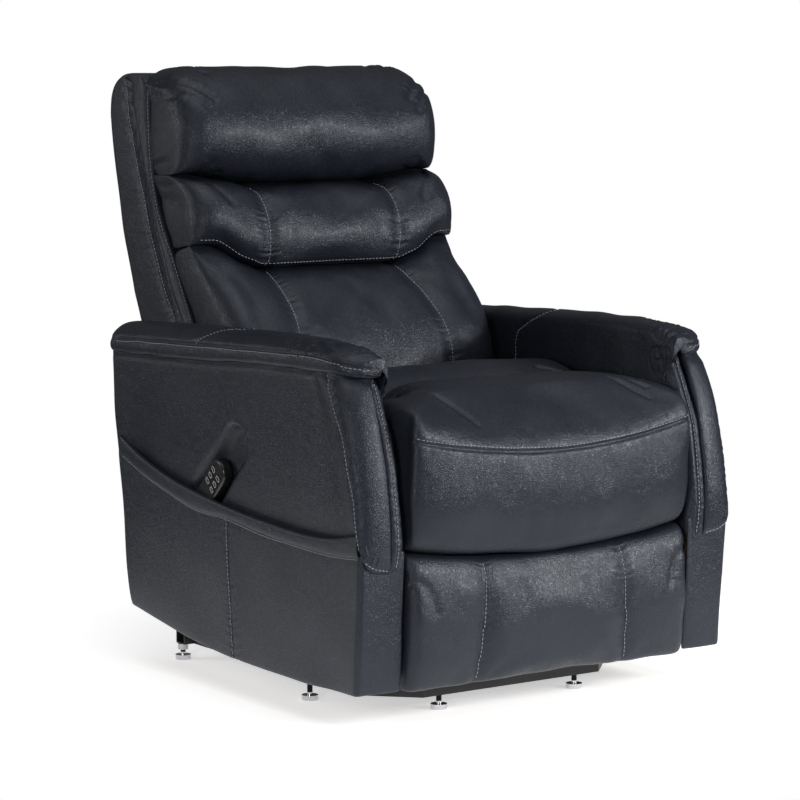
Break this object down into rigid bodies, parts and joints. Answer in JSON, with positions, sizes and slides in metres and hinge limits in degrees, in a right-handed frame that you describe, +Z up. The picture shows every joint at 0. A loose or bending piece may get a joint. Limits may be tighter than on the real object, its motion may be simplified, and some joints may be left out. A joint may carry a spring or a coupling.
{
  "type": "lift recliner chair",
  "caption": "Free-standing power lift recliner with padded arms, side pockets, a three-part tilting back, a swing-out footrest and a handset, on a steel lift base with levelling feet.",
  "frame": {"origin": "on the floor below the middle of the chair's box", "axes": "+Z up, the sitter faces -Y, +X is the sitter's left"},
  "size_m": [0.815, 1.05, 1.122],
  "materials": {
    "leather": "satin",
    "black_steel": "satin",
    "plated_steel": "satin",
    "foot_metal": "gloss",
    "motor_plastic": "matte",
    "wood": "matte",
    "spring_steel": "satin",
    "handset_plastic": "satin",
    "key_rubber": "matte"
  },
  "bodies": {
    "base": {"base_front_channel": "black_steel", "base_side_tubes": "black_steel", "base_cross_tubes": "black_steel", "foot_brackets": "black_steel", "foot_nuts": "plated_steel", "base_pivot_brackets": "black_steel", "base_pivot_pins": "plated_steel", "lift_motor_bracket": "black_steel"},
    "lift_arm": {"lift_arms": "black_steel", "lift_cross_bar": "black_steel", "lift_lever": "black_steel"},
    "guide_link": {"guide_links": "black_steel"},
    "lift_motor": {"lift_motor_housing": "motor_plastic"},
    "lift_rod": {"lift_motor_rod": "plated_steel"},
    "chair_body": {"carriage_rails": "black_steel", "carriage_cross_tubes": "black_steel", "carriage_hangers": "black_steel", "carriage_pins": "plated_steel", "back_motor_bracket": "black_steel", "seat_rails": "wood", "seat_springs": "spring_steel", "seat_cushion": "leather", "rear_panel": "leather", "control_box": "motor_plastic", "right_side_panel": "leather", "right_pocket_front": "leather", "right_arm_lining": "leather", "right_arm_front_pad": "leather", "right_arm_pad": "leather", "right_arm_frame": "wood", "left_side_panel": "leather", "left_pocket_front": "leather", "left_arm_lining": "leather", "left_arm_front_pad": "leather", "left_arm_pad": "leather", "left_arm_frame": "wood"},
    "back": {"back_shell": "leather", "lumbar_cushion": "leather", "middle_cushion": "leather", "head_pillow": "leather", "back_frame": "black_steel"},
    "back_motor": {"back_motor_housing": "motor_plastic"},
    "back_rod": {"back_motor_rod": "plated_steel"},
    "footrest_rear_link": {"footrest_rear_links": "black_steel"},
    "footrest_front_link": {"footrest_front_links": "black_steel"},
    "footrest": {"footrest_board": "wood", "footrest_pad": "leather"},
    "handset": {"handset_case": "handset_plastic"},
    "front_right_foot": {"front_right_foot": "foot_metal"},
    "front_left_foot": {"front_left_foot": "foot_metal"},
    "middle_right_foot": {"middle_right_foot": "foot_metal"},
    "middle_left_foot": {"middle_left_foot": "foot_metal"},
    "rear_right_foot": {"rear_right_foot": "foot_metal"},
    "rear_left_foot": {"rear_left_foot": "foot_metal"},
    "key_back_up": {"key_back_up": "key_rubber"},
    "key_back_down": {"key_back_down": "key_rubber"},
    "key_legs_up": {"key_legs_up": "key_rubber"},
    "key_legs_down": {"key_legs_down": "key_rubber"},
    "key_lift_up": {"key_lift_up": "key_rubber"},
    "key_lift_down": {"key_lift_down": "key_rubber"}
  },
  "joints": [
    {"name": "lift_hinge", "type": "hinge", "parent": "base", "child": "lift_arm", "pos_m": [0, -0.24125, 0.06216], "axis": [1, 0, 0], "range_deg": [0, 50]},
    {"name": "carriage_hinge", "type": "hinge", "parent": "lift_arm", "child": "chair_body", "pos_m": [0, 0.126, 0.09049], "axis": [1, 0, 0], "range_deg": [-26.36, 0]},
    {"name": "guide_hinge", "type": "hinge", "parent": "base", "child": "guide_link", "pos_m": [0, -0.217, 0.07497], "axis": [1, 0, 0], "range_deg": [0, 46.91]},
    {"name": "lift_motor_swing", "type": "hinge", "parent": "base", "child": "lift_motor", "pos_m": [0, 0.205, 0.05605], "axis": [1, 0, 0], "range_deg": [0, 4.86]},
    {"name": "lift_rod_slide", "type": "slide", "parent": "lift_motor", "child": "lift_rod", "axis": [0, -0.9593, 0.2825], "range_m": [0, 0.0951]},
    {"name": "back_hinge", "type": "hinge", "parent": "chair_body", "child": "back", "pos_m": [0, 0.215, 0.47], "axis": [-1, 0, 0], "range_deg": [0, 40]},
    {"name": "back_motor_swing", "type": "hinge", "parent": "chair_body", "child": "back_motor", "pos_m": [0, -0.03996, 0.16496], "axis": [1, 0, 0], "range_deg": [0, 1.37]},
    {"name": "back_rod_slide", "type": "slide", "parent": "back_motor", "child": "back_rod", "axis": [0, 0.7578, 0.6525], "range_m": [-0.0443, 0]},
    {"name": "footrest_hinge", "type": "hinge", "parent": "chair_body", "child": "footrest_rear_link", "pos_m": [0, -0.3, 0.23], "axis": [-1, 0, 0], "range_deg": [0, 130]},
    {"name": "footrest_knee", "type": "hinge", "parent": "footrest_rear_link", "child": "footrest_front_link", "pos_m": [0, -0.146, 0.153], "axis": [-1, 0, 0], "range_deg": [-107.61, 0]},
    {"name": "footrest_board_hinge", "type": "hinge", "parent": "footrest_front_link", "child": "footrest", "pos_m": [0, -0.44, 0.25], "axis": [-1, 0, 0], "range_deg": [0, 67.61]},
    {"name": "handset_slide", "type": "slide", "parent": "chair_body", "child": "handset", "axis": [-0.0785, -0.735, 0.6735], "range_m": [0, 0.06]},
    {"name": "front_right_foot_turn", "type": "hinge", "parent": "base", "child": "front_right_foot", "pos_m": [-0.152, -0.373, 0.02], "axis": [0, 0, 1], "continuous": true},
    {"name": "front_left_foot_turn", "type": "hinge", "parent": "base", "child": "front_left_foot", "pos_m": [0.152, -0.373, 0.02], "axis": [0, 0, 1], "continuous": true},
    {"name": "middle_right_foot_turn", "type": "hinge", "parent": "base", "child": "middle_right_foot", "pos_m": [-0.299, -0.181, 0.02], "axis": [0, 0, 1], "continuous": true},
    {"name": "middle_left_foot_turn", "type": "hinge", "parent": "base", "child": "middle_left_foot", "pos_m": [0.299, -0.181, 0.02], "axis": [0, 0, 1], "continuous": true},
    {"name": "rear_right_foot_turn", "type": "hinge", "parent": "base", "child": "rear_right_foot", "pos_m": [-0.299, 0.262, 0.02], "axis": [0, 0, 1], "continuous": true},
    {"name": "rear_left_foot_turn", "type": "hinge", "parent": "base", "child": "rear_left_foot", "pos_m": [0.299, 0.262, 0.02], "axis": [0, 0, 1], "continuous": true},
    {"name": "key_back_up_press", "type": "slide", "parent": "handset", "child": "key_back_up", "axis": [0.9969, -0.0578, 0.053], "range_m": [0, 0.0012], "stiffness_N_per_m": 1200, "springref_m": -0.0006},
    {"name": "key_back_down_press", "type": "slide", "parent": "handset", "child": "key_back_down", "axis": [0.9969, -0.0578, 0.053], "range_m": [0, 0.0012], "stiffness_N_per_m": 1200, "springref_m": -0.0006},
    {"name": "key_legs_up_press", "type": "slide", "parent": "handset", "child": "key_legs_up", "axis": [0.9969, -0.0578, 0.053], "range_m": [0, 0.0012], "stiffness_N_per_m": 1200, "springref_m": -0.0006},
    {"name": "key_legs_down_press", "type": "slide", "parent": "handset", "child": "key_legs_down", "axis": [0.9969, -0.0578, 0.053], "range_m": [0, 0.0012], "stiffness_N_per_m": 1200, "springref_m": -0.0006},
    {"name": "key_lift_up_press", "type": "slide", "parent": "handset", "child": "key_lift_up", "axis": [0.9969, -0.0578, 0.053], "range_m": [0, 0.0012], "stiffness_N_per_m": 1200, "springref_m": -0.0006},
    {"name": "key_lift_down_press", "type": "slide", "parent": "handset", "child": "key_lift_down", "axis": [0.9969, -0.0578, 0.053], "range_m": [0, 0.0012], "stiffness_N_per_m": 1200, "springref_m": -0.0006}
  ],
  "couplings": [
    {"joint": "carriage_hinge", "follows": "lift_hinge", "ratio": -0.527},
    {"joint": "guide_hinge", "follows": "lift_hinge", "ratio": 0.938},
    {"joint": "lift_motor_swing", "follows": "lift_hinge", "ratio": 0.097},
    {"joint": "lift_rod_slide", "follows": "lift_hinge", "m_per_rad": 0.10886},
    {"joint": "back_motor_swing", "follows": "back_hinge", "ratio": 0.034},
    {"joint": "back_rod_slide", "follows": "back_hinge", "m_per_rad": -0.0633},
    {"joint": "footrest_knee", "follows": "footrest_hinge", "ratio": -0.82769},
    {"joint": "footrest_board_hinge", "follows": "footrest_hinge", "ratio": 0.52}
  ]
}
